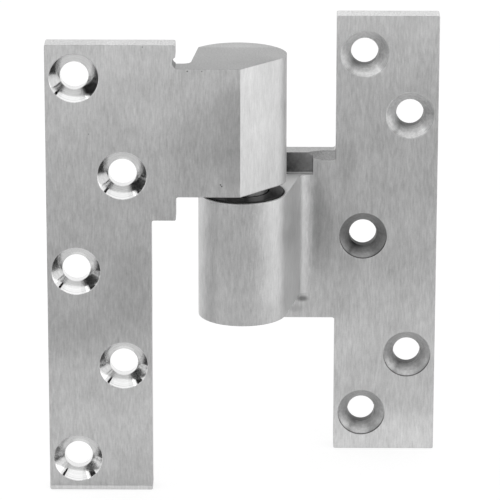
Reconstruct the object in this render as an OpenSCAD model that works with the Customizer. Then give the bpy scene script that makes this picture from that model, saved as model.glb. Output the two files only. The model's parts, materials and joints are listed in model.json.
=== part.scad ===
// Offset pivot hinge: a door leaf and a jamb leaf that turn on one pin.
// The hinge lies fully open, with both screw faces towards -Y.
// Origin: centre of the jamb leaf's back face. +Z is up the pivot axis.

/* [Leaves] */
// Height of both leaves
leaf_h = 114.3; // [108:0.1:127]
// Width of both leaves
leaf_w = 25.6; // [24:0.1:32]
// Thickness of leaves, arm and arm plate
leaf_t = 5.56; // [5:0.02:7]
// Rounding of a leaf's outer corners
leaf_corner_r = 0.4; // [0.2:0.1:2]
// Rounding in a leaf's inner corners
inner_corner_r = 0.7; // [0.3:0.1:1.5]

/* [Screw holes] */
// Radius of the clearance holes
screw_r = 3.45; // [2.6:0.05:3.6]
// Radius of the countersinks at the face
sink_r = 6.05; // [5:0.05:6.2]
// Included angle of the countersinks
sink_angle = 82; // [80:1:100]
// Distance from a leaf's edges to its hole columns
hole_inset = 7.05; // [6.8:0.05:9]
// Distance from the door leaf's top and bottom to its end holes
door_end_inset = 8.3; // [7:0.05:14]
// Distance from the jamb leaf's top and bottom to its end holes
jamb_end_inset = 9.8; // [7:0.05:14]
// Distance between the jamb leaf's outer pair of holes
jamb_pair_pitch = 63.1; // [50:0.1:70]

/* [Pivot axis] */
// Distance from the axis to the door leaf's face
door_face_offset = 14.3; // [13.8:0.1:17]
// Gap between the leaf faces when the door is closed
closed_gap = 1.6; // [0.8:0.1:3.2]
// Distance from the axis to the door leaf's inner edge
door_edge_offset = 22.2; // [22:0.1:26]
// Distance from the axis to the jamb leaf's inner edge
jamb_edge_offset = 23.3; // [22:0.1:27]
// Outside radius of the knuckle and the barrel
knuckle_r = 11; // [10.95:0.05:12.5]

/* [Door leaf] */
// Width that the upper step adds to the door leaf
step_w = 6; // [4:0.1:6.4]
// Height of the step's lower edge above mid-height
step_low = 13.05; // [8:0.05:16]
// Height of the arm and knuckle
arm_h = 32.2; // [30:0.1:34]
// Gap between the barrel's top face and the arm's and knuckle's lower face
knuckle_gap = 2.75; // [1:0.05:4]
// Distance of the knuckle's sharp corner from the axis, towards the leaf
corner_offset = 0.5; // [0:0.1:3]
// Angle between the leaf face and the knuckle's bevelled face
bevel_angle = 47.5; // [46:0.5:52]
// Radius that blends the bevelled face into the knuckle
bevel_blend_r = 8; // [5:0.5:8.5]
// Distance by which the flank's foot, at the arm, stands outside the knuckle's radius
flank_reach = 1.7; // [1.6:0.1:2.5]
// Angle by which the flank leans towards the axis
flank_angle = 6; // [3:0.5:9]
// How much larger the rear's radius is than the knuckle's
rear_bulge = 1.2; // [0.4:0.1:2]
// Rounding between the flank and the rear
shoulder_r = 1.5; // [0.5:0.1:3]
// Fillet between the arm's back and the knuckle's flank
arm_fillet_r = 2; // [1:0.1:2.5]
// Radius of the drilled relief over the arm
relief_r = 1.6; // [1:0.1:2.5]

/* [Jamb leaf] */
// Height of the arm plate
plate_h = 43.5; // [40:0.1:44]
// Height of the barrel and web
barrel_h = 31.45; // [28:0.05:36]
// Height of the barrel's top face above mid-height
barrel_top = 16.25; // [14:0.05:18]
// Angle by which the web's flank on the leaf side leaves the depth direction
web_angle = 12; // [6:0.5:13]
// Angle by which the web's free flank leans in
web_free_angle = 18; // [10:0.5:20]
// Fillet between the web and the arm plate
web_fillet_r = 3; // [1.5:0.1:3.5]
// Depth of the milled pocket in the arm plate over the web
pocket_depth = 0.5; // [0.2:0.1:1]
// Fillet along the pocket's floor
pocket_fillet_r = 1; // [0.5:0.1:1.5]
// Depth of the hollow in the arm plate's top edge, between the pocket and the leaf
hollow_depth = 2.4; // [1:0.1:3.2]
// Radius of the wheel that ground the hollow
hollow_r = 10.6; // [8:0.2:12]
// Angle by which the hollow leans back
hollow_tilt = 50; // [40:1:58]
// Distance from the jamb leaf's inner edge to the middle of the hollow
hollow_inset = 2.3; // [1:0.1:3]

/* [Pin and bearings] */
// Radius of the pivot pin
pin_r = 6.35; // [6:0.05:6.4]
// Depth of the pin's blind bore in the knuckle
pin_bore_depth = 25.4; // [18:0.1:28]
// Chamfer at the pin's ends
pin_chamfer = 0.8; // [0.4:0.1:1.2]
// Free space beyond each end of the pin
pin_end_gap = 0.6; // [0.3:0.1:1]
// Thickness of the barrel's closed bottom
barrel_floor = 3; // [2:0.1:4]
// Diameter of a needle roller
needle_d = 1.5875; // [1.4:0.0125:1.6]
// Number of needles in a bearing
needle_count = 14; // [10:1:16]
// Wall of a bearing cup
cup_wall = 0.79; // [0.6:0.01:0.9]
// Free length over each bearing cup
cup_gap = 0.925; // [0.3:0.025:1.5]
// Running clearance between a needle and its races
needle_gap = 0.02; // [0.01:0.005:0.05]
// Clearance between the cage and what it runs beside
cage_gap = 0.1; // [0.05:0.01:0.2]
// Radial thickness of the cage
cage_wall = 0.9; // [0.6:0.05:1.1]
// Width of the solid ring at each end of the cage
cage_ring = 1; // [0.6:0.1:1.5]
// Wall that the barrel keeps round the washer's seat
seat_wall = 0.6; // [0.4:0.05:1.2]
// Thickness of the seal washer
washer_t = 1.6; // [1.2:0.1:2]
// Depth of the washer's seat in the barrel
seat_depth = 1.2; // [0.8:0.1:1.4]
// Clearance round the washer, at its rim
washer_gap = 0.3; // [0.1:0.05:0.4]
// Clearance between the washer and the pin
washer_bore_gap = 0.25; // [0.1:0.05:0.4]

/* [Hidden] */
$fn = 96;
overlap = 0.5;
crossing = 0.002; // lets a blend's arc cross the sides that it touches
ends = ["lower", "upper"];
needle_numbers = [for (i = [1 : needle_count]) str(i < 10 ? "0" : "", i)];

steel = "silver";
polished = "gainsboro";
dark_steel = "dimgray";

// Leaves, seen from the pivot axis: faces at -Y, backs at +Y
half_h = leaf_h / 2;
door_face_y = -door_face_offset;
door_back_y = door_face_y + leaf_t;
jamb_face_y = door_face_offset + closed_gap;
jamb_back_y = jamb_face_y + leaf_t;
door_far_x = -door_edge_offset - leaf_w;
step_x = step_w - door_edge_offset;
door_pitch = half_h - door_end_inset;
jamb_pitch = half_h - jamb_end_inset;
jamb_far_x = jamb_edge_offset + leaf_w;
pivot_x = -jamb_edge_offset - leaf_w / 2;
pivot_y = -jamb_back_y;

// Knuckle, over the barrel: its rear is a larger arc that meets the barrel's radius at the right
arm_low = barrel_top + knuckle_gap;
arm_top = arm_low + arm_h;
rear_r = knuckle_r + rear_bulge;
rear_centre = [-rear_bulge, 0];

// A bevelled face runs from the sharp corner and blends into the rear
corner = [-corner_offset, door_face_y];
bevel_along = [cos(bevel_angle), sin(bevel_angle)];
bevel_out = [sin(bevel_angle), -cos(bevel_angle)];
bevel_centre = inner_centre(corner, bevel_out, bevel_along, bevel_blend_r);

// A flank runs from the arm up to a rounded shoulder
flank_foot = [-knuckle_r - flank_reach, door_back_y];
flank_along = [sin(flank_angle), cos(flank_angle)];
flank_out = [-cos(flank_angle), sin(flank_angle)];
shoulder_centre = inner_centre(flank_foot, flank_out, flank_along, shoulder_r);

// Arm plate and web
barrel_low = barrel_top - barrel_h;
web_normal = [cos(web_angle), -sin(web_angle)];
web_fillet_y = jamb_face_y - web_fillet_r;
web_fillet_x = (knuckle_r + web_fillet_r + web_fillet_y * sin(web_angle)) / cos(web_angle);
web_foot_x = (knuckle_r + jamb_face_y * sin(web_angle)) / cos(web_angle);
web_free_x = (knuckle_r - jamb_face_y * sin(web_free_angle)) / cos(web_free_angle);
hollow_x = jamb_edge_offset - hollow_inset;

// Pin and bearings, up the axis
pin_bore_top = arm_low + pin_bore_depth;
bore_low = barrel_low + barrel_floor;
seat_z = barrel_top - seat_depth;
seat_r = knuckle_r - seat_wall;
cup_pitch = (seat_z - bore_low) / 2;
cup_l = cup_pitch - cup_gap;
cup_race_r = pin_r + needle_d;
cup_r = cup_race_r + cup_wall;
needle_pitch_r = (pin_r + cup_race_r) / 2;
needle_r = needle_d / 2 - needle_gap;
cage_l = cup_l - 2 * (cup_wall + cage_gap);
needle_l = cage_l - 2 * (cage_ring + cage_gap);

// The lower cup stands on the bore's floor, and the upper one starts halfway up the bore
function cup_z(end) = bore_low + (end == "lower" ? 0 : cup_pitch);

// Centre of an arc of radius r that touches, from inside, the knuckle's rear and a straight side
// through point p, at the end that along points to
function inner_centre(p, out, along, r) =
    let (inset = (p - rear_centre) * out - r)
        rear_centre + inset * out + sqrt(pow(rear_r - r, 2) - pow(inset, 2)) * along;

// Moves its children from the pivot axis to the hinge's own frame
module from_pivot() {
    translate([pivot_x, pivot_y, 0]) children();
}

// A plate from a front view: x across, y up, its face at y = face_y
module plate(face_y) {
    translate([0, face_y + leaf_t, 0]) rotate([90, 0, 0]) linear_extrude(leaf_t) children();
}

// A plan view, lifted to z and h high
module upright(z, h) {
    translate([0, 0, z]) linear_extrude(h) children();
}

module rounded_rect(x0, x1, y0, y1, r) {
    translate([x0 + r, y0]) square([x1 - x0 - 2 * r, y1 - y0]);
    translate([x0, y0 + r]) square([x1 - x0, y1 - y0 - 2 * r]);
    for (x = [x0 + r, x1 - r], y = [y0 + r, y1 - r])
        translate([x, y]) circle(r);
}

// Fills an inner corner at the origin; x_side and y_side point into the open space
module corner_fill(r, x_side, y_side) {
    difference() {
        translate([x_side > 0 ? -overlap : -r, y_side > 0 ? -overlap : -r]) square(r + overlap);
        translate([x_side * r, y_side * r]) circle(r);
    }
}

// Countersunk hole through a plate whose face is at face_y
module screw_hole(x, z, face_y) {
    sink_depth = (sink_r - screw_r) / tan(sink_angle / 2);
    translate([x, face_y, z]) rotate([-90, 0, 0]) rotate_extrude()
        polygon([
            [0, -overlap], [sink_r, -overlap], [sink_r, 0],
            [screw_r, sink_depth], [screw_r, leaf_t + overlap], [0, leaf_t + overlap]
        ]);
}

// Three holes away from the pivot, and two halfway between them beside it
module door_screw_holes() {
    for (z = [-door_pitch, 0, door_pitch])
        screw_hole(door_far_x + hole_inset, z, door_face_y);
    for (z = [-0.5, 0.5] * door_pitch)
        screw_hole(-door_edge_offset - hole_inset, z, door_face_y);
}

// Three holes beside the pivot and two away from it
module jamb_screw_holes() {
    for (z = [-jamb_pitch, 0, jamb_pitch])
        screw_hole(jamb_edge_offset + hole_inset, z, jamb_face_y);
    for (z = [-0.5, 0.5] * jamb_pair_pitch)
        screw_hole(jamb_far_x - hole_inset, z, jamb_face_y);
}

// Front view of the door leaf with its upper step
module door_plate_outline() {
    rounded_rect(door_far_x, -door_edge_offset, -half_h, half_h, leaf_corner_r);
    rounded_rect(-door_edge_offset - leaf_w / 2, step_x, step_low, half_h, leaf_corner_r);
    translate([-door_edge_offset, step_low]) corner_fill(inner_corner_r, 1, -1);
    translate([step_x, arm_low]) corner_fill(inner_corner_r, 1, -1);
}

// Plan of the arm and the knuckle: straight sides clip the round rear, and its two corners are
// rounded
module knuckle_outline() {
    reach = 3 * rear_r;
    difference() {
        intersection() {
            polygon([
                [step_x - overlap, door_face_y], corner, corner + reach * bevel_along,
                [reach, reach], flank_foot + reach * flank_along, flank_foot,
                [step_x - overlap, door_back_y]
            ]);
            union() {
                translate(rear_centre) circle(rear_r);
                translate([-reach, -reach]) square([reach + knuckle_r / 2, reach]);
            }
        }
        blend_cut(bevel_centre, bevel_out, bevel_blend_r);
        blend_cut(shoulder_centre, flank_out, shoulder_r);
    }
    arm_fillet();
}

// Waste outside a blend's arc, between a straight side and the knuckle's rear
module blend_cut(centre, side_out, r) {
    rear_out = (centre - rear_centre) / norm(centre - rear_centre);
    difference() {
        polygon([
            centre, centre + 2 * r * side_out, centre + 2 * r * (side_out + rear_out),
            centre + 2 * r * rear_out
        ]);
        translate(centre) circle(r + crossing);
    }
}

// Concave fillet where the arm's back meets the knuckle's flank
module arm_fillet() {
    centre = [
        flank_foot.x - arm_fillet_r * (1 - flank_along.x) / flank_along.y,
        door_back_y + arm_fillet_r
    ];
    touch = centre + arm_fillet_r * [flank_along.y, -flank_along.x];
    difference() {
        polygon([
            [centre.x, door_back_y - overlap], [flank_foot.x + overlap, door_back_y - overlap],
            touch + [overlap, 0], touch, centre
        ]);
        translate(centre) circle(arm_fillet_r);
    }
}

// One casting: leaf, upper step, arm and upper knuckle
module door_leaf() {
    color(steel) from_pivot() difference() {
        union() {
            plate(door_face_y) door_plate_outline();
            upright(arm_low, arm_h) knuckle_outline();
        }
        door_screw_holes();
        translate([step_x + relief_r / 2, door_back_y + overlap, arm_top + relief_r])
            rotate([90, 0, 0]) cylinder(r = relief_r, h = leaf_t + 2 * overlap);
        translate([0, 0, arm_low - overlap]) cylinder(r = pin_r, h = pin_bore_depth + overlap);
    }
}

// Front view of the jamb leaf with its arm plate
module jamb_plate_outline() {
    rounded_rect(jamb_edge_offset, jamb_far_x, -half_h, half_h, leaf_corner_r);
    translate([-web_free_x, -plate_h / 2])
        square([web_free_x + jamb_edge_offset + leaf_w / 2, plate_h]);
    for (side = [-1, 1])
        translate([jamb_edge_offset, side * plate_h / 2]) corner_fill(inner_corner_r, -1, side);
}

// Plan of the barrel and the web that carries it
module web_outline() {
    touch = knuckle_r * web_normal;
    free_touch = knuckle_r * [-cos(web_free_angle), sin(web_free_angle)];
    foot_y = jamb_face_y + leaf_t / 2;
    circle(knuckle_r);
    polygon([
        [0, 0], touch, [web_foot_x, jamb_face_y], [web_foot_x, foot_y],
        [-web_free_x, foot_y], [-web_free_x, jamb_face_y], free_touch
    ]);
    web_fillet();
}

// Concave fillet between the web's flank and the arm plate
module web_fillet() {
    centre = [web_fillet_x, web_fillet_y];
    touch = centre - web_fillet_r * web_normal;
    difference() {
        polygon([
            touch, centre, [centre.x, jamb_face_y + overlap],
            [web_foot_x - overlap, jamb_face_y + overlap], touch - [overlap, 0]
        ]);
        translate(centre) circle(web_fillet_r);
    }
}

// Milled clearance over the web: cuts the arm plate's face and leaves a fillet at the floor
module pocket() {
    wall_y = jamb_face_y + pocket_depth;
    length = web_free_x + web_fillet_x + 2 * overlap;
    translate([-web_free_x - overlap, 0, 0]) rotate([90, 0, 90]) linear_extrude(length)
        difference() {
            translate([0, barrel_top]) square([wall_y, plate_h]);
            difference() {
                translate([wall_y - pocket_fillet_r, barrel_top]) square(pocket_fillet_r);
                translate([wall_y - pocket_fillet_r, barrel_top + pocket_fillet_r])
                    circle(pocket_fillet_r);
            }
        }
}

// Ground hollow that thins the arm plate's top edge beside the leaf
module edge_hollow() {
    intersection() {
        translate([hollow_x, jamb_face_y + hollow_depth, plate_h / 2])
            rotate([-hollow_tilt, 0, 0]) translate([0, -hollow_r, 0])
                cylinder(r = hollow_r, h = 4 * hollow_r, center = true);
        translate([0, jamb_face_y - overlap, barrel_top])
            cube([jamb_edge_offset, leaf_t + 2 * overlap, plate_h]);
    }
}

// One casting: leaf, arm plate, web and lower barrel
module jamb_leaf() {
    color(steel) from_pivot() difference() {
        union() {
            plate(jamb_face_y) jamb_plate_outline();
            upright(barrel_low, barrel_h) web_outline();
        }
        jamb_screw_holes();
        pocket();
        edge_hollow();
        translate([0, 0, seat_z]) cylinder(r = seat_r, h = seat_depth + overlap);
        translate([0, 0, bore_low]) cylinder(r = cup_r, h = barrel_h);
    }
}

// Hardened pin, fast in the knuckle and turning in the barrel
module pivot_pin() {
    z0 = bore_low + pin_end_gap;
    z1 = pin_bore_top - pin_end_gap;
    color(polished) from_pivot() rotate_extrude() polygon([
        [0, z0], [pin_r - pin_chamfer, z0], [pin_r, z0 + pin_chamfer],
        [pin_r, z1 - pin_chamfer], [pin_r - pin_chamfer, z1], [0, z1]
    ]);
}

// Washer that closes the barrel's mouth round the pin
module seal_washer() {
    color(dark_steel) from_pivot() translate([0, 0, seat_z]) difference() {
        cylinder(r = seat_r - washer_gap, h = washer_t);
        translate([0, 0, -overlap])
            cylinder(r = pin_r + washer_bore_gap, h = washer_t + 2 * overlap);
    }
}

// Pressed cup: a thin race with a lip turned in at each end
module bearing_cup(z) {
    lip_r = pin_r + cage_gap;
    color(steel) from_pivot() translate([0, 0, z]) rotate_extrude() polygon([
        [lip_r, 0], [cup_r, 0], [cup_r, cup_l], [lip_r, cup_l],
        [lip_r, cup_l - cup_wall], [cup_race_r, cup_l - cup_wall],
        [cup_race_r, cup_wall], [lip_r, cup_wall]
    ]);
}

// Cage with a pocket for each needle
module bearing_cage(z) {
    cage_r = needle_pitch_r + cage_wall / 2;
    pocket_w = needle_d + 2 * needle_gap;
    color(dark_steel) from_pivot() translate([0, 0, z + cup_wall + cage_gap]) difference() {
        cylinder(r = cage_r, h = cage_l);
        translate([0, 0, -overlap]) cylinder(r = cage_r - cage_wall, h = cage_l + 2 * overlap);
        for (n = [0 : needle_count - 1])
            rotate(360 / needle_count * n)
                translate([needle_pitch_r - cage_wall, -pocket_w / 2, cage_ring])
                    cube([2 * cage_wall, pocket_w, cage_l - 2 * cage_ring]);
    }
}

module needle(z, number) {
    color(polished) from_pivot() rotate(360 / needle_count * number)
        translate([needle_pitch_r, 0, z + cup_wall + 2 * cage_gap + cage_ring])
            cylinder(r = needle_r, h = needle_l);
}

door_leaf();
jamb_leaf();
pivot_pin();
seal_washer();
for (e = ends) {
    bearing_cup(cup_z(e));
    bearing_cage(cup_z(e));
    for (n = [0 : needle_count - 1])
        needle(cup_z(e), n);
}
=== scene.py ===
import bpy
import json
import math
from mathutils import Matrix, Vector


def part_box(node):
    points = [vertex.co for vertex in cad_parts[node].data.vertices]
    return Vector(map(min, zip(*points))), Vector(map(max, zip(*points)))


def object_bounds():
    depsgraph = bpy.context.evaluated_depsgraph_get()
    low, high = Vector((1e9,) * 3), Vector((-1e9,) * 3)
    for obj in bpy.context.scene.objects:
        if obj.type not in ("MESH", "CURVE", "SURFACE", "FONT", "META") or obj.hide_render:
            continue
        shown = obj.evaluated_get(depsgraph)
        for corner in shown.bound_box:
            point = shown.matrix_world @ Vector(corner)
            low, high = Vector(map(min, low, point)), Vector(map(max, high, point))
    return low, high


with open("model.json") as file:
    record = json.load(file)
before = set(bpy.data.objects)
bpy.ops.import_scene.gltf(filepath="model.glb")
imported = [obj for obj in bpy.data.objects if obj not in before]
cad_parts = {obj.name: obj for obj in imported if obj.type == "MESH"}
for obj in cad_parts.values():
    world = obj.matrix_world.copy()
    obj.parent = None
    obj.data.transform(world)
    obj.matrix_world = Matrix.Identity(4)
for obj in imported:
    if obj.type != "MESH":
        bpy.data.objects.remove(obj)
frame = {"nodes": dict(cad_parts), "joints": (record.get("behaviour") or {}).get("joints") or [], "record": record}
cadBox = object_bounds()
record = frame["record"]
print("frame loaded:", len(frame["nodes"]), "nodes")

mm = 0.001
low, high = Vector(cadBox[0]), Vector(cadBox[1])
middle = (low + high) / 2
pivot = Vector(frame["joints"][0]["pos_m"])

studio = {
    "azimuth": 0.25,            # degrees to the left of straight on
    "elevation": 17.43,         # degrees of looking down
    "roll": 0.11,
    "distance": 0.938,          # metres from the part's middle
    "lens": 270.5,
    "aimRight": 1.29 * mm,      # how far the camera stands to the right
    "floorSize": 6.0,
    "floorGlow": 0.81,          # what is seen of the floor where no light falls
    "floorColour": 0.27,
    "roomLight": 0.8,           # world light on matt surfaces
}

lamps = {
    # name: (place, aimed at, width, height, radiance)
    "sideLamp": ((0.20, -0.10, 0.02), (-0.03, -0.03, 0.01), 0.30, 0.15, 0.46),
    "topLamp": ((0.02, -0.12, 0.62), (-0.03, -0.02, 0.0), 0.62, 0.5, 0.1),
    "stripLamp": ((-0.46, -0.10, 0.45), (-0.07, -0.03, 0.0), 0.5, 0.06, 0.9),
}

# dark and grey cards round the part, seen only in its reflections
cards = {
    # name: (place, aimed at, width, height, grey)
    "leftCard": ((-0.55, -0.05, 0.285), (-0.07, -0.03, 0.0), 0.22, 0.19, 0.03),
    "rightCard": ((0.42, -0.06, 0.36), (-0.03, -0.03, 0.0), 0.6, 0.085, 0.01),
    "frontCard": ((-0.03, -0.225, low.z + 1 * mm), (-0.03, -0.225, 1.0), 0.80, 0.21, 0.67),
    "nearCard": ((-0.03, -0.073, low.z + 1 * mm), (-0.03, -0.073, 1.0), 0.80, 0.09, 1.0),
    "cornerCard": ((0.02, -0.375, low.z + 2 * mm), (0.02, -0.375, 1.0), 0.16, 0.15, 0.15),
    "besideCard": ((-0.23, -0.06, low.z + 1 * mm), (-0.23, -0.06, 1.0), 0.2, 0.2, 0.72),
    "standCard": ((0.72, -3.0, 0.80), (-0.07, 0.0, 0.0), 1.24, 1.15, 0.01),
    "lowCard": ((-1.00, -3.0, 0.38), (-0.07, 0.0, 0.0), 1.44, 0.34, 0.01),
    "cameraCard": ((-0.03, -0.80, 0.52), (-0.03, 0.0, 0.0), 0.9, 0.28, 0.15),
}


def placeCamera():
    az, el, roll = (math.radians(studio[k]) for k in ("azimuth", "elevation", "roll"))
    look = Vector((-math.sin(az) * math.cos(el), math.cos(az) * math.cos(el), -math.sin(el)))
    right = look.cross(Vector((0, 0, 1))).normalized()
    up = right.cross(look)
    side = right * math.cos(roll) + up * math.sin(roll)
    top = up * math.cos(roll) - right * math.sin(roll)
    data = bpy.data.cameras.new("camera")
    data.lens = studio["lens"]
    data.clip_start = 0.01
    camera = bpy.data.objects.new("camera", data)
    bpy.context.collection.objects.link(camera)
    place = middle + side * studio["aimRight"] - look * studio["distance"]
    camera.matrix_world = Matrix.Translation(place) @ Matrix((side, top, -look)).transposed().to_4x4()
    bpy.context.scene.camera = camera


# 1 for the rays that see the white surroundings: camera, glossy and transmission rays
def seenRays(nodes, links):
    path = nodes.new("ShaderNodeLightPath")
    seen = path.outputs["Is Camera Ray"]
    for other in ("Is Glossy Ray", "Is Transmission Ray"):
        either = nodes.new("ShaderNodeMath")
        either.operation = "MAXIMUM"
        links.new(seen, either.inputs[0])
        links.new(path.outputs[other], either.inputs[1])
        seen = either.outputs[0]
    return seen


def buildRoom():
    world = bpy.data.worlds.new("room")
    bpy.context.scene.world = world
    world.use_nodes = True
    nodes, links = world.node_tree.nodes, world.node_tree.links
    back = nodes["Background"]
    back.inputs["Color"].default_value = (1, 1, 1, 1)
    strength = nodes.new("ShaderNodeMapRange")
    strength.inputs["To Min"].default_value = studio["roomLight"]
    strength.inputs["To Max"].default_value = 1.0
    links.new(seenRays(nodes, links), strength.inputs["Value"])
    links.new(strength.outputs["Result"], back.inputs["Strength"])


def buildFloor():
    bpy.ops.object.select_all(action="DESELECT")
    bpy.ops.mesh.primitive_plane_add(size=studio["floorSize"], location=(middle.x, middle.y, low.z))
    floor = bpy.context.active_object
    floor.name = "floor"
    bpy.ops.object.transform_apply(location=True, rotation=True, scale=True)
    material = bpy.data.materials.new("paleFloor")
    material.use_nodes = True
    nodes, links = material.node_tree.nodes, material.node_tree.links
    nodes.clear()
    matt = nodes.new("ShaderNodeBsdfDiffuse")
    matt.inputs["Color"].default_value = (studio["floorColour"],) * 3 + (1,)
    glow = nodes.new("ShaderNodeEmission")
    strength = nodes.new("ShaderNodeMath")
    strength.operation = "MULTIPLY"
    strength.inputs[1].default_value = studio["floorGlow"]
    links.new(seenRays(nodes, links), strength.inputs[0])
    links.new(strength.outputs[0], glow.inputs["Strength"])
    both = nodes.new("ShaderNodeAddShader")
    links.new(matt.outputs[0], both.inputs[0])
    links.new(glow.outputs[0], both.inputs[1])
    links.new(both.outputs[0], nodes.new("ShaderNodeOutputMaterial").inputs["Surface"])
    floor.data.materials.append(material)


def aimed(place, target):
    place, target = Vector(place), Vector(target)
    return Matrix.Translation(place) @ (target - place).to_track_quat("-Z", "Y").to_matrix().to_4x4()


def buildLamps():
    for name, (place, target, width, height, radiance) in lamps.items():
        data = bpy.data.lights.new(name, "AREA")
        data.shape = "RECTANGLE"
        data.size, data.size_y = width, height
        data.energy = radiance * math.pi * width * height
        lamp = bpy.data.objects.new(name, data)
        bpy.context.collection.objects.link(lamp)
        lamp.matrix_world = aimed(place, target)


def buildCards():
    for name, (place, target, width, height, grey) in cards.items():
        bpy.ops.object.select_all(action="DESELECT")
        bpy.ops.mesh.primitive_plane_add(size=1)
        card = bpy.context.active_object
        card.name = name
        card.matrix_world = aimed(place, target) @ Matrix.Diagonal((width, height, 1, 1))
        material = bpy.data.materials.new(name)
        material.use_nodes = True
        shader = material.node_tree.nodes["Principled BSDF"]
        shader.inputs["Base Color"].default_value = (grey, grey, grey, 1)
        shader.inputs["Roughness"].default_value = 1.0
        shader.inputs["Specular IOR Level"].default_value = 0.0
        card.data.materials.append(material)
        card.visible_camera = False
        card.visible_diffuse = False
        card.visible_shadow = False


bpy.context.scene.view_settings.view_transform = "Standard"
placeCamera()
buildRoom()
buildFloor()
buildLamps()
buildCards()
print("studio built")


# a material's node tree, with short calls for its nodes
class Finish:
    def __init__(self, name):
        self.material = bpy.data.materials.new(name)
        self.material.use_nodes = True
        self.nodes = self.material.node_tree.nodes
        self.links = self.material.node_tree.links
        self.shader = self.nodes["Principled BSDF"]
        self.place = self.nodes.new("ShaderNodeTexCoord").outputs["Object"]
        self.normal = self.nodes.new("ShaderNodeNewGeometry").outputs["Normal"]

    def put(self, value, socket):
        if isinstance(value, (int, float)):
            socket.default_value = value
        elif isinstance(value, (tuple, Vector)):
            socket.default_value = tuple(value)
        else:
            self.links.new(value, socket)

    def maths(self, operation, a, b=0.0):
        node = self.nodes.new("ShaderNodeMath")
        node.operation = operation
        self.put(a, node.inputs[0])
        self.put(b, node.inputs[1])
        return node.outputs[0]

    def add(self, a, b):
        return self.maths("ADD", a, b)

    def less(self, a, b):
        return self.maths("SUBTRACT", a, b)

    def times(self, a, b):
        return self.maths("MULTIPLY", a, b)

    def magnitude(self, a):
        return self.maths("ABSOLUTE", a)

    # 1 where a is over the limit, and 0 elsewhere
    def over(self, a, limit):
        return self.maths("GREATER_THAN", a, limit)

    def under(self, a, limit):
        return self.maths("LESS_THAN", a, limit)

    def vector(self, operation, a, b=(0.0, 0.0, 0.0), out="Vector"):
        node = self.nodes.new("ShaderNodeVectorMath")
        node.operation = operation
        self.put(a, node.inputs[0])
        self.put(b, node.inputs[1])
        return node.outputs[out]

    def distance(self, a, b):
        return self.vector("DISTANCE", a, b, out="Value")

    def length(self, a):
        return self.vector("LENGTH", a, out="Value")

    def cross(self, a, b):
        return self.vector("CROSS_PRODUCT", a, b)

    def split(self, a):
        node = self.nodes.new("ShaderNodeSeparateXYZ")
        self.put(a, node.inputs[0])
        return node.outputs[0], node.outputs[1], node.outputs[2]

    def join(self, x, y, z):
        node = self.nodes.new("ShaderNodeCombineXYZ")
        for value, socket in zip((x, y, z), node.inputs):
            self.put(value, socket)
        return node.outputs[0]

    # noise from 0 to 1 with its middle at 0.5; stretch below 1 draws it out along that axis
    def noise(self, place, size, stretch=(1.0, 1.0, 1.0), detail=2.0, roughness=0.5):
        node = self.nodes.new("ShaderNodeTexNoise")
        self.put(self.vector("MULTIPLY", place, stretch), node.inputs["Vector"])
        node.inputs["Scale"].default_value = 1 / size
        node.inputs["Detail"].default_value = detail
        node.inputs["Roughness"].default_value = roughness
        return node.outputs["Fac"]

    def ramp(self, value, fromLow, fromHigh, toLow=0.0, toHigh=1.0, smooth=False):
        node = self.nodes.new("ShaderNodeMapRange")
        if smooth:
            node.interpolation_type = "SMOOTHSTEP"
        self.put(value, node.inputs["Value"])
        limits = {"From Min": fromLow, "From Max": fromHigh, "To Min": toLow, "To Max": toHigh}
        for key, number in limits.items():
            self.put(number, node.inputs[key])
        return node.outputs["Result"]

    def mix(self, share, a, b):
        node = self.nodes.new("ShaderNodeMix")
        node.data_type = "FLOAT"
        self.put(share, node.inputs["Factor"])
        self.put(a, node.inputs[2])
        self.put(b, node.inputs[3])
        return node.outputs[0]

    def mixVector(self, share, a, b):
        node = self.nodes.new("ShaderNodeMix")
        node.data_type = "VECTOR"
        self.put(share, node.inputs["Factor"])
        self.put(a, node.inputs[4])
        self.put(b, node.inputs[5])
        return node.outputs[1]

    # 1 between two values, with soft ends
    def between(self, value, start, end, soft):
        rise = self.ramp(value, start - soft, start + soft)
        fall = self.ramp(value, end + soft, end - soft)
        return self.times(rise, fall)

    # the tone times a factor, as far as the mask reaches
    def shaded(self, mask, tone, factor):
        return self.mix(mask, tone, self.times(tone, factor))


# centres (x, z) of a leaf's screw holes, from the record's mounts
def screwHoles(leaf):
    centres = set()
    for mount in record["mounts"]:
        if mount["kind"] == "bolt_pattern" and mount["name"].startswith(leaf):
            x, _, z = mount["pos_m"]
            half = mount["dims"]["spacing_y_mm"] * mm / 2
            centres.update({(round(x, 6), round(z - half, 6)), (round(x, 6), round(z + half, 6))})
    return sorted(centres)


# distance to the nearest screw hole's axis, and that hole's centre
def nearestHole(finish, leaf, flat):
    nearest, centre = None, None
    for x, z in screwHoles(leaf):
        away = finish.distance(flat, (x, 0.0, z))
        if nearest is None:
            nearest, centre = away, (x, 0.0, z)
        else:
            centre = finish.mixVector(finish.under(away, nearest), centre, (x, 0.0, z))
            nearest = finish.maths("MINIMUM", nearest, away)
    return nearest, centre


# the faces are told apart by their normals, by heights from the middle and by distances from the holes
faceLimits = {
    "squarely": 0.97,          # share of a normal that points straight ahead
    "slanting": 0.9,
    "level": (0.7, 0.9),
    "toTheRight": 0.5,
    "ends": 56 * mm,           # height past which level faces are the leaf's ends
    "outerHoles": 12 * mm,     # height past which holes are the upper or the lower ones
    "sinkReach": 6.3 * mm,     # just past a countersink's rim
    "boreReach": 3.6 * mm,     # just past a hole's wall
    "boreWall": 0.3,
}


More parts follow.
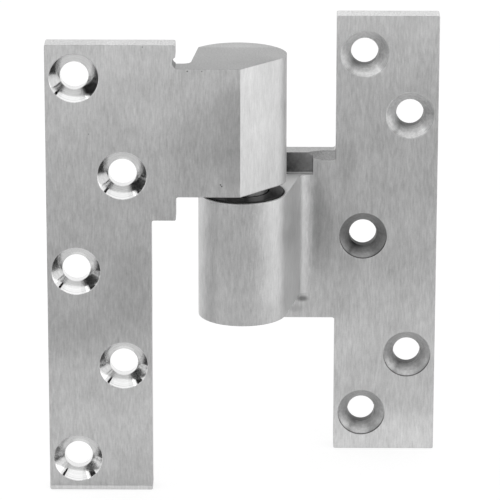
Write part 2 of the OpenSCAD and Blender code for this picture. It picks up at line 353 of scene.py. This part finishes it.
# a leaf's faces: each mask is 1 on its own faces and 0 elsewhere
class LeafFaces:
    def __init__(self, finish, leaf):
        self.x, self.y, self.z = finish.split(finish.place)
        self.nx, self.ny, self.nz = finish.split(finish.normal)
        self.flat = finish.join(self.x, 0.0, self.z)
        self.nearest, self.hole = nearestHole(finish, leaf, self.flat)
        self.holeX, _, self.holeZ = finish.split(self.hole)

        ahead = finish.magnitude(self.ny)
        height = finish.magnitude(self.z)
        self.front = finish.under(self.ny, -faceLimits["squarely"])
        self.right = finish.over(self.nx, faceLimits["toTheRight"])
        self.sink = finish.times(finish.under(self.nearest, faceLimits["sinkReach"]),
                                 finish.ramp(ahead, faceLimits["squarely"], faceLimits["slanting"]))
        self.bore = finish.times(finish.under(self.nearest, faceLimits["boreReach"]),
                                 finish.under(ahead, faceLimits["boreWall"]))
        self.level = finish.times(finish.ramp(finish.magnitude(self.nz), *faceLimits["level"]),
                                  finish.less(1.0, self.sink))
        self.ends = finish.times(self.level, finish.over(height, faceLimits["ends"]))
        self.upperHoles = finish.over(self.z, faceLimits["outerHoles"])
        self.middleHoles = finish.under(height, faceLimits["outerHoles"])
        self.lowerHoles = finish.under(self.z, -faceLimits["outerHoles"])


brushing = {
    "lineSize": 0.42 * mm,
    "lineStretch": 0.17,       # below 1 makes the lines longer
    "wideSize": 1.2 * mm,
    "wideStretch": 0.25,
    "grainSize": 0.4 * mm,
    "ringSize": 0.19 * mm,     # of the turning marks in the countersinks
    "cloudSize": 9 * mm,
    "shares": (0.5, 0.25, 0.25),    # of the lines, the wide lines and the grain
}


# the brush runs up the faces; the ends have a fine grain, and the countersinks rings
def brushMarks(finish, faces):
    fine = finish.noise(finish.place, brushing["lineSize"], stretch=(1, 1, brushing["lineStretch"]),
                        detail=2, roughness=0.6)
    wide = finish.noise(finish.place, brushing["wideSize"], stretch=(1, 1, brushing["wideStretch"]), detail=2)
    grain = finish.noise(finish.place, brushing["grainSize"], detail=3, roughness=0.7)
    rings = finish.noise(finish.join(faces.nearest, 0.0, 0.0), brushing["ringSize"], detail=3, roughness=0.7)
    fineShare, wideShare, grainShare = brushing["shares"]
    brushed = finish.add(finish.times(fine, fineShare), finish.times(wide, wideShare))
    brushed = finish.add(brushed, finish.times(grain, grainShare))
    marks = finish.mix(faces.sink, finish.mix(faces.level, brushed, grain), rings)
    return marks, fine, grain


# small casting pits: distance from the pivot axis, height, radius
pits = {
    "door": [(-13.3, 50.7, 0.2), (-9.8, 50.7, 0.15), (-5.3, 22.2, 0.2), (-5.0, 21.8, 0.2),
             (-24.1, 56.7, 0.15), (-37.3, 34.9, 0.12)],
    "jamb": [],
}
pitLook = {
    "grey": 0.15,
    "edge": 1.3,               # times its radius, where a pit ends
    "floor": 0.5,              # and where it is darkest
}


# 1 in the casting pits of a front face
def pitMask(finish, leaf, faces):
    mask = 0.0
    for across, height, radius in pits[leaf]:
        away = finish.distance(faces.flat, (pivot.x + across * mm, 0.0, height * mm))
        pit = finish.ramp(away, radius * pitLook["edge"] * mm, radius * pitLook["floor"] * mm, smooth=True)
        mask = finish.maths("MAXIMUM", mask, pit)
    return finish.times(mask, faces.front)


# patches of darker steel: distance from the pivot axis, height, half width, half height, and how much darker they
# are (below 0 lighter); among them painted shade (the door arm near the pivot, under the web's foot, beside the
# web's fillet, the pocket's top corner) and a painted highlight along the fillet
toneAndShadePatches = {
    "door": [(-1.5, 35.0, 11.0, 22.0, 0.24), (-12.6, 30.0, 6.0, 17.0, 0.1), (-28.2, -5.5, 8.0, 16.0, 0.15),
             (-40.0, -15.5, 11.0, 7.5, 0.13)],
    "jamb": [(15.1, -16.7, 2.1, 1.15, 0.6), (13.4, -19.3, 2.6, 1.6, 0.2), (16.7, 4.0, 1.3, 20.0, -0.2),
             (5.0, -2.0, 10.5, 18.0, -0.06), (18.8, 5.0, 1.8, 18.0, 0.2), (20.6, 21.2, 1.9, 1.0, 0.55),
             (19.9, 3.0, 4.6, 19.0, 0.27), (26.5, -2.0, 6.0, 16.0, 0.12), (26.2, 19.5, 3.4, 11.0, 0.12)],
}
patchCore = 0.2                # share of a patch that has its full tone
patchFacing = 0.3              # how far a face of the jamb leaf looks forward to be patched


# how much the patches darken a leaf's tone, and lighten it where the change is below 0; among them are painted
# shade and a painted highlight
def patchShade(finish, leaf, faces):
    shade = 1.0
    for across, height, halfWidth, halfHeight, darker in toneAndShadePatches[leaf]:
        aside = finish.times(finish.less(faces.x, pivot.x + across * mm), 1 / (halfWidth * mm))
        above = finish.times(finish.less(faces.z, height * mm), 1 / (halfHeight * mm))
        away = finish.length(finish.join(aside, above, 0.0))
        shade = finish.times(shade, finish.ramp(away, patchCore, 1.0, 1.0 - darker, 1.0, smooth=True))
    return shade


sinks = {
    # leaf: grey of the upper, the middle and the lower countersinks, and their roughness; the jamb leaf's
    # differing greys are painted light and shade
    "door": (0.82, 0.82, 0.82, 0.08),
    "jamb": (0.80, 0.42, 0.64, 0.36),
}

# painted shade in the countersinks, and blotches of uneven tone in the jamb leaf's
sinkPaintedShade = {
    "lowerStart": 1 * mm,      # height over the hole's centre at which the painted shade begins
    "lowerEnd": -2.5 * mm,     # and where it is full
    "sideways": 2 * mm,        # of the centre, over which it fades to the right
    "rightShare": 0.55,        # of the painted shade that is left there
    "holeEdge": 3.4 * mm,
    "reach": 5.2 * mm,         # of the painted dark ring beside the hole
    "besideShade": 0.75,            # how far that painted shade darkens the steel
    "middleReach": 5.8 * mm,   # the same in the middle countersink
    "middleBesideShade": 0.97,
    "rimStart": 5.7 * mm,      # of the painted dark line along the rim's lower half
    "rimEnd": 5.95 * mm,
    "rimShade": 0.85,
    "rimHeights": (20 * mm, 12 * mm),   # above the first the rim has its least painted shade, under the second all of it
    "upperRim": 0.3,           # least painted shade of a rim
    "blotchSize": 0.7 * mm,
    "blotches": 0.2,
    "bore": 0.3,               # painted shade of the jamb leaf's holes, against their countersinks
    "doorUpper": 0.8,          # painted shade of the upper half of the door leaf's countersinks, against the lower half
    "doorBlend": 2 * mm,
}


# paints shade on the lower half of a jamb countersink, beside its hole and along its rim, and blotches its tone
def jambSinkShade(finish, faces):
    lower = finish.ramp(finish.less(faces.z, faces.holeZ), sinkPaintedShade["lowerStart"], sinkPaintedShade["lowerEnd"])
    leftward = finish.ramp(finish.less(faces.x, faces.holeX), sinkPaintedShade["sideways"], -sinkPaintedShade["sideways"],
                           sinkPaintedShade["rightShare"], 1.0)
    reach = finish.mix(faces.middleHoles, sinkPaintedShade["reach"], sinkPaintedShade["middleReach"])
    besideShade = finish.mix(faces.middleHoles, sinkPaintedShade["besideShade"], sinkPaintedShade["middleBesideShade"])
    beside = finish.ramp(faces.nearest, reach, sinkPaintedShade["holeEdge"])
    beside = finish.times(beside, finish.times(lower, leftward))
    rim = finish.times(finish.ramp(faces.nearest, sinkPaintedShade["rimStart"], sinkPaintedShade["rimEnd"]), lower)
    rim = finish.times(rim, finish.ramp(faces.z, *sinkPaintedShade["rimHeights"], sinkPaintedShade["upperRim"], 1.0))
    shade = finish.times(finish.less(1.0, finish.times(beside, besideShade)),
                         finish.less(1.0, finish.times(rim, sinkPaintedShade["rimShade"])))
    blotches = finish.noise(finish.place, sinkPaintedShade["blotchSize"], detail=3, roughness=0.6)
    blotches = finish.ramp(blotches, 0.2, 0.8, 1 - sinkPaintedShade["blotches"], 1 + sinkPaintedShade["blotches"])
    return finish.times(shade, blotches)


# a countersink's grey by its row, with painted shade on the jamb leaf's countersinks and bores and on the upper
# half of the door leaf's
def sinkTone(finish, leaf, faces):
    upper, middleGrey, lower, _ = sinks[leaf]
    tone = finish.mix(faces.upperHoles, middleGrey, upper)
    tone = finish.mix(faces.lowerHoles, tone, lower)
    if leaf == "jamb":
        tone = finish.times(tone, jambSinkShade(finish, faces))
        # painted shade on the bores of the jamb leaf's holes
        return finish.shaded(faces.bore, tone, sinkPaintedShade["bore"])
    # painted shade on the upper half of the door leaf's countersinks
    upperHalf = finish.ramp(finish.less(faces.z, faces.holeZ), 0.0, sinkPaintedShade["doorBlend"])
    return finish.times(tone, finish.ramp(upperHalf, 0.0, 1.0, 1.0, sinkPaintedShade["doorUpper"]))


# places on the knuckle are given from the pivot axis
knuckle = {
    "bevelStart": 3 * mm,      # from here to the right the bevelled face gets darker: painted shade
    "bevelEnd": 7 * mm,
    "bevelShade": 0.93,
    "topHeight": 48 * mm,      # height past which level faces are the knuckle's or the leaf's
    "rearStart": 6.8 * mm,     # of the painted highlight band along the top's rear
    "rearEnd": 7.6 * mm,
    "rearHighlight": 1.2,
    # the top darkens towards its front: painted shade
    "frontStart": -8 * mm,
    "frontShade": 0.92,
    "reliefAcross": -15.4 * mm,     # drilled relief where the arm meets the step; its wall gets painted shadow
    "reliefHeight": 52.8 * mm,
    "reliefReach": 1.7 * mm,   # just past its wall
    "reliefFacing": (0.5, 0.9),     # its wall looks less forward and less up than this
    "reliefShade": 0.3,
}


# painted shade on the knuckle's bevelled face, painted shade and a painted highlight on its level top, and painted
# shadow in the drilled relief
def doorShade(finish, faces, tone):
    blend = finish.ramp(faces.x, pivot.x + knuckle["bevelStart"], pivot.x + knuckle["bevelEnd"],
                        1.0, knuckle["bevelShade"])
    tone = finish.shaded(faces.right, tone, blend)

    rear = finish.ramp(faces.y, pivot.y + knuckle["rearStart"], pivot.y + knuckle["rearEnd"],
                       1.0, knuckle["rearHighlight"])
    front = finish.ramp(faces.y, pivot.y + knuckle["frontStart"], pivot.y, knuckle["frontShade"], 1.0)
    top = finish.times(faces.level, finish.over(faces.z, knuckle["topHeight"]))
    tone = finish.shaded(top, tone, finish.times(rear, front))

    centre = (pivot.x + knuckle["reliefAcross"], 0.0, knuckle["reliefHeight"])
    relief = finish.under(finish.distance(faces.flat, centre), knuckle["reliefReach"])
    forward, upward = knuckle["reliefFacing"]
    relief = finish.times(relief, finish.under(finish.magnitude(faces.nz), upward))
    relief = finish.times(relief, finish.under(finish.magnitude(faces.ny), forward))
    return finish.shaded(relief, tone, knuckle["reliefShade"])


leafThickness = 5.56 * mm

# the pocket over the web, whose wall and foot get painted shade
pocket = {
    "start": 10 * mm,          # from the pivot axis
    "end": 17.6 * mm,
    "low": 16.1 * mm,
    "high": 21.9 * mm,
    "soft": 0.05 * mm,         # blurring of its sides; its top and foot have twice as much
    "depth": 0.25 * mm,        # of the wall behind the leaf's face, at least
    "footReach": 0.8 * mm,     # of the rounding at its foot, in front of the leaf's face
    "footTop": 17.4 * mm,
    "wallFacing": 0.6,         # how far the wall and the foot look forward, at least
    "footFacing": 0.02,
    "acrossShare": 0.45,       # how much lighter the painted shade gets to the right, upwards, in patches and at the foot
    "upwardShare": 0.3,
    "patchShare": 0.35,
    "footShare": 0.6,
    "patchSize": 0.9 * mm,
    "darkest": 0.03,
    "lightest": 0.36,
}


# 1 on the unbrushed wall of the pocket over the web and on the rounding at its foot; its dark tone is painted
# shade
def pocketMask(finish, faces):
    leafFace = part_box("jamb_leaf")[1][1] - leafThickness
    wall = finish.times(finish.over(faces.y, leafFace + pocket["depth"]),
                        finish.under(faces.ny, -pocket["wallFacing"]))
    foot = finish.times(finish.over(faces.y, leafFace - pocket["footReach"]),
                        finish.under(faces.ny, -pocket["footFacing"]))
    foot = finish.times(foot, finish.under(faces.z, pocket["footTop"]))
    wall = finish.maths("MAXIMUM", wall, foot)
    across = finish.between(faces.x, pivot.x + pocket["start"], pivot.x + pocket["end"], pocket["soft"])
    upward = finish.between(faces.z, pocket["low"], pocket["high"], 2 * pocket["soft"])
    return finish.times(finish.times(wall, across), upward)


# painted shade in the pocket, darkest at its inner lower corner
def pocketShade(finish, faces):
    across = finish.ramp(faces.x, pivot.x + pocket["start"], pivot.x + pocket["end"])
    upward = finish.ramp(faces.z, pocket["low"], pocket["high"])
    patch = finish.noise(finish.place, pocket["patchSize"], detail=3)
    share = finish.add(finish.times(upward, pocket["upwardShare"]), finish.times(patch, pocket["patchShare"]))
    share = finish.add(finish.times(across, pocket["acrossShare"]), share)
    share = finish.add(share, finish.times(finish.add(1.0, faces.ny), pocket["footShare"]))
    return finish.ramp(share, 0.2, 1.0, pocket["darkest"], pocket["lightest"])


# painted light: the barrel's and the web's level faces get a lighter grey than the other level faces; their
# roughness is the steel's own
webTop = {
    "height": 16.3 * mm,       # of the barrel's and the web's level faces
    "within": 0.8 * mm,
    "grey": 0.68,
    "roughness": 0.55,
}

# painted shade on the ground face of the hollow in the arm plate's top edge
hollow = {
    "low": 19 * mm,
    "high": 22 * mm,
    "facing": (-0.85, -0.4),   # of its ground face, with soft ends
    "soft": 0.04,
    "grey": 0.30,
}


def webTopMask(finish, faces):
    away = finish.magnitude(finish.less(faces.z, webTop["height"]))
    return finish.times(faces.level, finish.under(away, webTop["within"]))


# painted shade in the pocket, painted light on the web's top and painted shade in the hollow in the arm plate's
# top edge
def jambShade(finish, faces, tone, grain):
    tone = finish.mix(pocketMask(finish, faces), tone, pocketShade(finish, faces))
    tone = finish.mix(webTopMask(finish, faces), tone, webTop["grey"])
    inHollow = finish.between(faces.ny, *hollow["facing"], hollow["soft"])
    inHollow = finish.times(finish.over(faces.z, hollow["low"]), inHollow)
    inHollow = finish.times(inHollow, finish.under(faces.z, hollow["high"]))
    return finish.mix(inHollow, tone, finish.times(finish.add(0.5, grain), hollow["grey"]))


leafLook = {
    "steel": 0.62,             # grey of the brushed faces
    "endSteel": 0.74,          # ground ends of the leaves
    "topSteel": 0.42,          # knuckle's and barrel's level faces
    "streaks": 1.04,           # how far the brush marks change the grey, as a share
    "levelStreaks": 1.3,       # times that on the level faces, the leaves' ends and the faces turned right
    "endStreaks": 1.8,
    "bevelStreaks": 0.75,
    "clouds": 0.3,
    "roughness": 0.34,
    "roughnessChange": 0.12,
    "anisotropy": 0.75,
    "edge": 0.3 * mm,          # rounding of every edge
    "edgeSamples": 6,
    "bump": 0.35,
    "sinkBump": 0.1,
    "bumpDepth": 0.02 * mm,
}


def leafTone(finish, leaf, faces, marks, grain):
    steel = finish.mix(faces.level, leafLook["steel"], leafLook["topSteel"])
    steel = finish.mix(faces.ends, steel, leafLook["endSteel"])
    steel = finish.mix(faces.sink, steel, sinkTone(finish, leaf, faces))
    streaks = finish.mix(faces.level, 1.0, leafLook["levelStreaks"])
    streaks = finish.mix(faces.ends, streaks, leafLook["endStreaks"])
    streaks = finish.shaded(faces.right, streaks, leafLook["bevelStreaks"])
    streaks = finish.times(streaks, leafLook["streaks"])
    clouds = finish.noise(finish.place, brushing["cloudSize"], detail=3)
    change = finish.add(finish.times(finish.less(marks, 0.5), streaks),
                        finish.times(finish.less(clouds, 0.5), leafLook["clouds"]))
    tone = finish.times(steel, finish.add(1.0, change))
    tone = finish.mix(pitMask(finish, leaf, faces), tone, pitLook["grey"])
    # the patches, among them painted shade and a painted highlight
    patched = faces.front if leaf == "door" else finish.under(faces.ny, -patchFacing)
    tone = finish.shaded(patched, tone, patchShade(finish, leaf, faces))
    if leaf == "door":
        return doorShade(finish, faces, tone)
    return jambShade(finish, faces, tone, grain)


# marks run up the faces, across the ends and round the countersinks
def markDirection(finish, faces):
    upright = finish.cross(finish.normal, (0.0, 0.0, 1.0))
    onLevel = finish.cross(finish.normal, (1.0, 0.0, 0.0))
    ringWay = finish.cross(finish.vector("SUBTRACT", faces.flat, faces.hole), (0.0, 1.0, 0.0))
    acrossRings = finish.cross(finish.normal, ringWay)
    tangent = finish.mixVector(faces.sink, finish.mixVector(faces.level, upright, onLevel), acrossRings)
    return finish.vector("NORMALIZE", tangent)


# rounds the edges and raises the marks
def leafNormal(finish, faces, marks):
    softEdge = finish.nodes.new("ShaderNodeBevel")
    softEdge.samples = leafLook["edgeSamples"]
    softEdge.inputs["Radius"].default_value = leafLook["edge"]
    bump = finish.nodes.new("ShaderNodeBump")
    finish.put(finish.mix(faces.sink, leafLook["bump"], leafLook["sinkBump"]), bump.inputs["Strength"])
    bump.inputs["Distance"].default_value = leafLook["bumpDepth"]
    finish.put(marks, bump.inputs["Height"])
    finish.put(softEdge.outputs[0], bump.inputs["Normal"])
    return bump.outputs[0]


def satinSteel(leaf):
    finish = Finish(leaf + "Steel")
    faces = LeafFaces(finish, leaf)
    marks, fine, grain = brushMarks(finish, faces)
    tone = leafTone(finish, leaf, faces, marks, grain)
    change = finish.times(finish.less(fine, 0.5), leafLook["roughnessChange"])
    roughness = finish.mix(faces.sink, finish.add(leafLook["roughness"], change), sinks[leaf][3])
    if leaf == "jamb":
        roughness = finish.mix(webTopMask(finish, faces), roughness, webTop["roughness"])

    shader = finish.shader
    finish.put(finish.join(tone, tone, tone), shader.inputs["Base Color"])
    finish.put(roughness, shader.inputs["Roughness"])
    finish.put(markDirection(finish, faces), shader.inputs["Tangent"])
    finish.put(leafNormal(finish, faces, marks), shader.inputs["Normal"])
    shader.inputs["Metallic"].default_value = 1.0
    shader.inputs["Anisotropic"].default_value = leafLook["anisotropy"]
    return finish.material


# slots of the inner pieces: (grey, roughness)
turned = {
    "ground_steel": (0.62, 0.16),
    "cup_steel": (0.5, 0.3),
    "cage_steel": (0.3, 0.4),
    "dark_washer": (0.05, 0.35),
}

turningMarks = {
    "size": 0.17 * mm,
    "change": 0.13,            # of the grey, as a share
    "smoother": 0.8,
    "rougher": 1.25,
    "anisotropy": 0.6,
}


# inner pieces, with turning rings round the pivot axis
def turnedSteel(slot):
    grey, roughness = turned[slot]
    least, most = roughness * turningMarks["smoother"], roughness * turningMarks["rougher"]
    finish = Finish(slot + "Finish")
    x, y, z = finish.split(finish.place)
    fromAxis = finish.vector("SUBTRACT", finish.join(x, y, 0.0), (pivot.x, pivot.y, 0.0))
    rings = finish.noise(finish.join(finish.length(fromAxis), 0.0, z), turningMarks["size"], detail=2)
    change = turningMarks["change"]
    tone = finish.times(grey, finish.ramp(rings, 0.0, 1.0, 1 - change, 1 + change))
    finish.put(finish.join(tone, tone, tone), finish.shader.inputs["Base Color"])
    finish.put(finish.ramp(rings, 0.3, 0.7, least, most), finish.shader.inputs["Roughness"])
    acrossRings = finish.cross(finish.normal, finish.cross(fromAxis, (0.0, 0.0, 1.0)))
    finish.put(finish.vector("NORMALIZE", acrossRings), finish.shader.inputs["Tangent"])
    finish.shader.inputs["Metallic"].default_value = 1.0
    finish.shader.inputs["Anisotropic"].default_value = turningMarks["anisotropy"]
    return finish.material


def dress(node, material):
    mesh = frame["nodes"][node].data
    if not mesh.materials:
        mesh.materials.append(material)
    for index in range(len(mesh.materials)):
        mesh.materials[index] = material


dress("door_leaf", satinSteel("door"))
dress("jamb_leaf", satinSteel("jamb"))
finishes = {slot: turnedSteel(slot) for slot in turned}
for part in record["subparts"]:
    if part["material_slot"] in finishes:
        dress(part["node"], finishes[part["material_slot"]])
print("finishes set")
